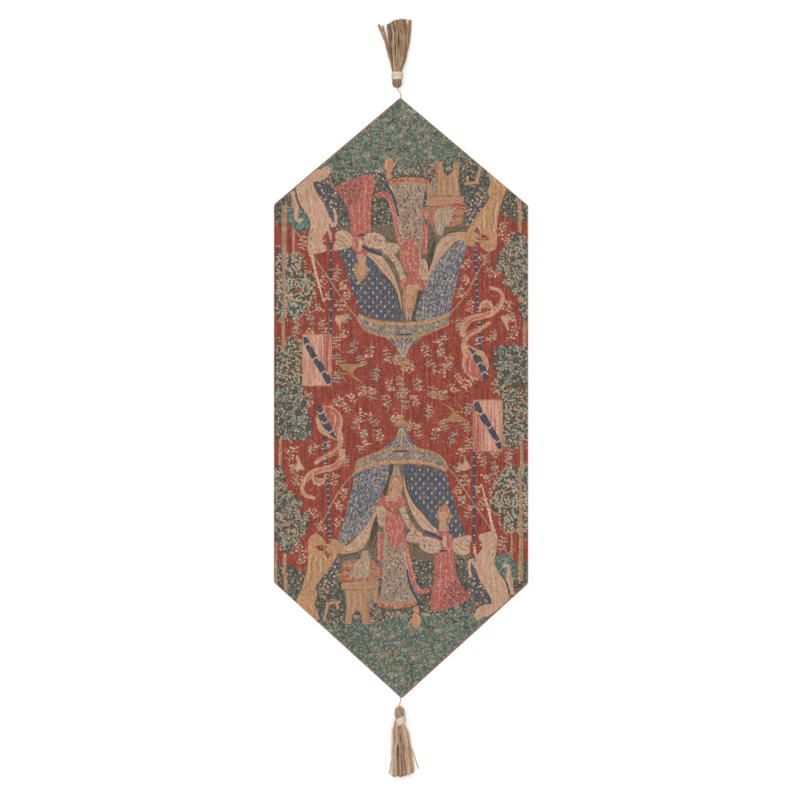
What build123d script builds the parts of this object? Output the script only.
from build123d import *
import os
from math import radians, tan

# A lined jacquard runner, pointed at both ends, with a yarn tassel at each point.
# It lies flat: X across the cloth, +Y towards the upper tassel, +Z up. The origin is the centre of the
# whole piece, on the surface that it lies on. Millimetres throughout.

# The cloth: a long hexagon
cloth_width = 350.0
cloth_length = 826.0
upper_taper = 148.0  # length of the upper point, along Y
lower_taper = 159.0
overall_length = 1047.0  # over both tassels

# The cloths and how they lie on each other
jacquard_thickness = 0.9
lining_thickness = 0.4
margin_width = 12.0  # turned in all round
slope_width = 6.0  # where the front comes down off its turned margin
lining_inset = 1.0  # the lining stops this far short of the folded edge
lining_peek = 1.2  # and on two slopes it shows this far outside it
fold_radius = 0.8

# Seam and hand stitches
seam_thread = 0.4
seam_inset = 2.4
closing_gap = 120.0
closing_pitch = 5.0
closing_stitch = 2.6

# Tassel cord
cord_radius = 0.9
tail_width = 2.2
tail_length = 16.0
tack_width = 4.4
tack_thread = 0.45
tack_pitch = 3.2
tack_count = 4

# Tassel, common sizes
axis_height = 7.7
mantle_thickness = 1.2
neck_radius = 6.2
neck_slope = 1.5
knot_radius = 2.6
knot_place = 6.2  # along the tassel, from the head's end
fit_gap = 0.05
tie_turns = 3
tie_thread = 0.8
strand_radius = 0.7
skirt_share = 0.72  # the core's skirt as a share of the mantle's

# Each tassel's own sizes. A skirt section is (along, sideways, width, height), from the head's end.
upper = {
    "turn": 0.0,
    "apex": (-5.2, 426.6),
    "head_radius": 6.5,
    "head_length": 11.6,
    "wrap_radius": 7.6,
    "wrap_length": 10.6,
    "wrap_tilt": 0.0,
    "skirt": [
        (40.0, 0.4, 22.0, 12.6),
        (56.0, 0.2, 27.0, 11.4),
        (80.0, -1.4, 27.0, 10.4),
        (104.0, -1.6, 25.0, 9.6),
    ],
    "cord": [(0.0, 414.3, 1.25), (-0.9, 420.2, 3.8), (-5.2, 425.3, 7.7)],
    "strands": [
        [(-8.0, 58.0, 2.6), (-14.5, 70.0, 1.4), (-21.0, 83.0, 0.9)],
        [(-9.0, 66.0, 2.4), (-17.0, 76.0, 1.2), (-27.5, 87.0, 0.9)],
        [(10.5, 56.0, 4.0), (14.2, 72.0, 2.4), (16.4, 92.0, 2.2)],
        [(11.0, 54.0, 2.8), (15.6, 72.0, 1.2), (18.6, 91.0, 0.9)],
    ],
}
lower = {
    "turn": 183.3,
    "apex": (-2.3, -423.9),
    "head_radius": 7.0,
    "head_length": 15.4,
    "wrap_radius": 7.6,
    "wrap_length": 9.6,
    "wrap_tilt": 20.0,
    "skirt": [
        (42.0, 0.6, 23.5, 12.6),
        (58.0, 0.4, 28.0, 11.4),
        (80.0, -0.4, 32.5, 10.4),
        (104.0, -0.6, 33.5, 9.6),
    ],
    "cord": [(-0.6, -414.3, 1.25), (-0.9, -418.6, 4.4), (-2.3, -422.6, 7.7)],
    "strands": [
        [(-15.0, 62.0, 3.2), (-18.4, 74.0, 1.8), (-21.6, 88.0, 0.9)],
        [(14.4, 72.0, 3.0), (17.6, 82.0, 1.6), (19.8, 94.0, 0.9)],
    ],
}

# Heights of the layers, from the surface up
lining_top = lining_thickness
lining_margin_top = 2 * lining_thickness
front_margin_top = lining_margin_top + jacquard_thickness
front_top = front_margin_top + jacquard_thickness
middle_top = lining_top + jacquard_thickness

half_width = cloth_width / 2
half_length = cloth_length / 2
upper_shoulder = half_length - upper_taper
lower_shoulder = lower_taper - half_length
upper_tip = Vector(0, half_length)
lower_tip = Vector(0, -half_length)
corners = [
    Vector(half_width, lower_shoulder),
    Vector(half_width, upper_shoulder),
    upper_tip,
    Vector(-half_width, upper_shoulder),
    Vector(-half_width, lower_shoulder),
    lower_tip,
]
# Edges in the same order: right side, upper right slope, upper left slope, left side and so on
lining_insets = [
    lining_inset,
    lining_inset,
    -lining_peek,
    lining_inset,
    lining_inset,
    -lining_peek,
]


def moved_in(insets):
    """The cloth's corners with each edge moved in by its own inset."""
    count = len(corners)
    found = []
    for i in range(count):
        before = (corners[i] - corners[i - 1]).normalized()
        after = (corners[(i + 1) % count] - corners[i]).normalized()
        inward_before = Vector(-before.Y, before.X)
        inward_after = Vector(-after.Y, after.X)
        # The new corner lies on both moved edges
        a = inward_before.dot(corners[i]) + insets[i - 1]
        b = inward_after.dot(corners[i]) + insets[i]
        across = inward_before.X * inward_after.Y - inward_before.Y * inward_after.X
        x = (a * inward_after.Y - b * inward_before.Y) / across
        y = (b * inward_before.X - a * inward_after.X) / across
        found.append((x, y))
    return found


def outline(inset, z):
    """The cloth's face at height z, moved in by one inset or by a list of one for each edge."""
    insets = inset if isinstance(inset, list) else [inset] * len(corners)
    return make_face(Polyline(*moved_in(insets), close=True)).moved(Location((0, 0, z)))


def plate(inset, low, high):
    return extrude(outline(inset, low), high - low)


def dish(low):
    """A solid that widens from the flat middle up to the margin's inner edge."""
    high = low + front_margin_top - lining_top
    inner = outline(margin_width + slope_width, low)
    outer = outline(margin_width, high)
    return loft([inner, outer], ruled=True)


def block(x, y, z, width, length, height):
    return Pos(x, y, z) * Box(width, length, height)


def seam_ring():
    low = lining_margin_top - seam_thread / 2
    outer = plate(seam_inset, low, low + seam_thread)
    return outer - plate(seam_inset + seam_thread, low, low + seam_thread)


def tail_slot(side, width, low, high):
    """Where a tassel cord parts the turned margins at a tip. side is 1 at the upper tip."""
    length = tail_length + 2 * fit_gap
    y = side * (half_length - length / 2)
    return block(0, y, (low + high) / 2, width, length, high - low)


def front_panel():
    """Jacquard front with its margin turned in. It lies on the lining inside the margin."""
    margin = plate(0, lining_margin_top, front_top)
    top_edges = margin.faces().sort_by(Axis.Z)[-1].edges()
    margin = fillet(top_edges, fold_radius)
    hollow = plate(margin_width, lining_margin_top, front_margin_top)
    panel = margin - hollow + dish(lining_top) - dish(middle_top) - seam_ring()
    for side in (1, -1):
        slot = tail_slot(side, tail_width + 2 * fit_gap, lining_margin_top, front_margin_top)
        panel = panel - slot
    return panel


def lining_panel():
    """Lining with its margin turned in. It shows past the front on two slopes."""
    whole = plate(lining_insets, 0, lining_margin_top)
    inner = [inset + margin_width for inset in lining_insets]
    panel = whole - plate(inner, lining_top, lining_margin_top) - seam_ring()
    for side in (1, -1):
        panel = panel - tail_slot(side, tack_width + 2 * fit_gap, lining_top, lining_margin_top)
    return panel


def closing_stitches():
    """Slip stitches under the right edge, where the cloth was turned right side out."""
    count = int(closing_gap / closing_pitch)
    height = lining_margin_top - 2 * fit_gap
    x = half_width - lining_inset / 2
    made = []
    for i in range(count):
        y = (i - (count - 1) / 2) * closing_pitch
        made.append(block(x, y, height / 2 + fit_gap, lining_inset, closing_stitch, height))
    return Compound(children=made)


def cord_tail(side):
    y = side * (half_length - tail_length / 2)
    z = (lining_margin_top + front_margin_top) / 2
    bar = block(0, y, z, tail_width, tail_length, jacquard_thickness)
    return fillet(bar.edges().filter_by(Axis.Y), jacquard_thickness / 3) - seam_ring()


def cord_tack(side):
    z = (lining_top + lining_margin_top) / 2
    made = []
    for i in range(tack_count):
        y = side * (half_length - tail_length + (i + 0.7) * tack_pitch)
        made.append(block(0, y, z, tack_width, tack_thread, lining_thickness) - seam_ring())
    return Compound(children=made)


def routed_tube(points, radius):
    """A round tube along straight runs joined by tangent arcs, with the arcs' radii."""
    runs = [b - a for a, b in zip(points, points[1:])]
    radii = []
    for before, after in zip(runs, runs[1:]):
        shorter = min(before.length, after.length)
        radii.append(0.45 * shorter / tan(radians(before.get_angle(after)) / 2))
    path = FilletPolyline(*points, radius=radii)
    section = Plane(origin=path @ 0, z_dir=path % 0) * Circle(radius)
    tube = sweep(section, path=path)
    print("  arc radii", [round(r, 1) for r in radii], "length", round(path.length, 1))
    return tube


def hanging_cord(tassel):
    """The free cord. Its round ends turn about the two pivots without moving sideways."""
    points = [Vector(*point) for point in tassel["cord"]]
    tube = routed_tube(points, cord_radius)
    for end in (points[0], points[-1]):
        tube = tube + Pos(end.X, end.Y, end.Z) * Sphere(cord_radius)
    return tube


def placed(tassel, solid):
    """From the tassel's own frame, +Y from the head's end to the skirt, to the cloth's."""
    x, y = tassel["apex"]
    return Pos(x, y, 0) * Rot(0, 0, tassel["turn"]) * solid


def along_axis(profile):
    """Turns a profile drawn with X out from the axis and Y along it."""
    return Pos(0, 0, axis_height) * revolve(profile, Axis.Y)


def head_profile(radius, head_to, neck, neck_to):
    """Half of a rounded head that narrows to the neck."""
    dome = CenterArc((0, radius), radius, -90, 90)
    sides = Polyline(
        (radius, radius),
        (radius, head_to - neck_slope),
        (neck, head_to),
        (neck, neck_to),
        (0, neck_to),
        (0, 0),
    )
    return make_face(dome.edges() + sides.edges())


def head_and_neck(tassel, thinner):
    """Head and neck as one turned solid, smaller all over by thinner."""
    radius = tassel["head_radius"] - thinner
    neck_to = tassel["head_length"] + tassel["wrap_length"] - thinner
    profile = head_profile(radius, tassel["head_length"] - thinner, neck_radius - thinner, neck_to)
    return Pos(0, thinner, 0) * along_axis(profile)


def skirt(tassel, share, thinner):
    """Skirt lofted from the neck through flattened sections. Its underside stays on the surface."""
    start = tassel["head_length"] + tassel["wrap_length"]
    faces = [Plane((0, start, axis_height), z_dir=(0, 1, 0)) * Circle(neck_radius - thinner)]
    for along, sideways, width, height in tassel["skirt"]:
        middle = height / 2 + fit_gap
        place = Plane((sideways, along, middle), x_dir=(1, 0, 0), z_dir=(0, 1, 0))
        faces.append(place * Ellipse(share * width / 2, share * height / 2))
    return loft(faces)


def trimmed(tassel, solid):
    """Cuts a placed skirt square at the overall length."""
    side = 1 if tassel["apex"][1] > 0 else -1
    reach = overall_length / 2
    depth = 40.0
    return solid - block(0, side * (reach + depth / 2), 0, cloth_width, depth, 2 * depth)


def cord_way(radius):
    """Bore from the head's end to the knot, with room for the knot."""
    bore = Plane((0, -1, axis_height), z_dir=(0, 1, 0)) * Circle(radius)
    return extrude(bore, knot_place + 1) + Pos(0, knot_place, axis_height) * Sphere(
        knot_radius + radius - cord_radius
    )


def tassel_core(tassel):
    core = head_and_neck(tassel, mantle_thickness) + skirt(tassel, skirt_share, mantle_thickness)
    return trimmed(tassel, placed(tassel, core - cord_way(cord_radius + fit_gap)))


def mantle_blank(tassel):
    return head_and_neck(tassel, 0) + skirt(tassel, 1, 0)


def tie_place(tassel):
    return tassel["head_length"] + tassel["wrap_length"] / 2


def ring(outer, inner, start, end):
    """A ring round the tassel's axis."""
    plane = Plane((0, start, axis_height), z_dir=(0, 1, 0))
    return extrude(plane * (Circle(outer) - Circle(inner)), end - start)


def tassel_mantle(tassel):
    """Outer yarns over the core, with the groove that the tie pulls into them."""
    inner = head_and_neck(tassel, mantle_thickness) + skirt(tassel, skirt_share, mantle_thickness)
    mantle = mantle_blank(tassel) - inner - cord_way(cord_radius + fit_gap)
    half_tie = tie_turns * tie_thread / 2
    middle = tie_place(tassel)
    groove = ring(neck_radius + 1, neck_radius - tie_thread, middle - half_tie, middle + half_tie)
    return trimmed(tassel, placed(tassel, mantle - groove))


def knotted_end(tassel):
    plane = Plane((0, 0.2, axis_height), z_dir=(0, 1, 0))
    tail = extrude(plane * Circle(cord_radius), knot_place)
    knot = Pos(0, knot_place, axis_height) * Sphere(knot_radius)
    return placed(tassel, tail + knot)


def neck_tie(tassel):
    """Turns of thread side by side in the groove."""
    radius = tie_thread / 2 - fit_gap / 2
    made = []
    for i in range(tie_turns):
        along = tie_place(tassel) + (i - (tie_turns - 1) / 2) * tie_thread
        plane = Plane((0, along, axis_height), z_dir=(0, 1, 0))
        turn = plane * Torus(neck_radius - tie_thread / 2, radius)
        made.append(placed(tassel, turn))
    return Compound(children=made)


def neck_wrap(tassel):
    """Wide satin wrap, cut by two planes that lean by its tilt."""
    middle = tie_place(tassel)
    sleeve = ring(tassel["wrap_radius"], neck_radius, 0, 2 * middle)
    lean = Pos(0, middle, axis_height) * Rot(0, 0, tassel["wrap_tilt"])
    slab = lean * Box(4 * neck_radius, tassel["wrap_length"], 4 * neck_radius)
    return placed(tassel, (sleeve & slab) - mantle_blank(tassel))


def loose_strands(tassel):
    """Yarns that stand away from the skirt, each cut off where it leaves it."""
    body = mantle_blank(tassel)
    made = []
    for route in tassel["strands"]:
        points = [Vector(x, y, z) for x, y, z in route]
        strand = routed_tube(points, strand_radius)
        pieces = (strand - body).solids().sort_by(SortBy.VOLUME)
        made.append(trimmed(tassel, placed(tassel, pieces[-1])))
    return Compound(children=made)


def save(name, solid):
    export_step(solid, f"parts/{name}.step")
    print(name, round(solid.volume, 1))


os.makedirs("parts", exist_ok=True)
save("front_panel", front_panel())
save("lining_panel", lining_panel())
save("edge_seam_thread", seam_ring())
save("closing_stitches", closing_stitches())
for name, side, tassel in (("upper", 1, upper), ("lower", -1, lower)):
    save(f"{name}_cord_tail", cord_tail(side))
    save(f"{name}_cord_tack", cord_tack(side))
    save(f"{name}_hanging_cord", hanging_cord(tassel))
    save(f"{name}_knotted_end", knotted_end(tassel))
    save(f"{name}_tassel_core", tassel_core(tassel))
    save(f"{name}_tassel_mantle", tassel_mantle(tassel))
    save(f"{name}_neck_tie", neck_tie(tassel))
    save(f"{name}_neck_wrap", neck_wrap(tassel))
    save(f"{name}_loose_strands", loose_strands(tassel))
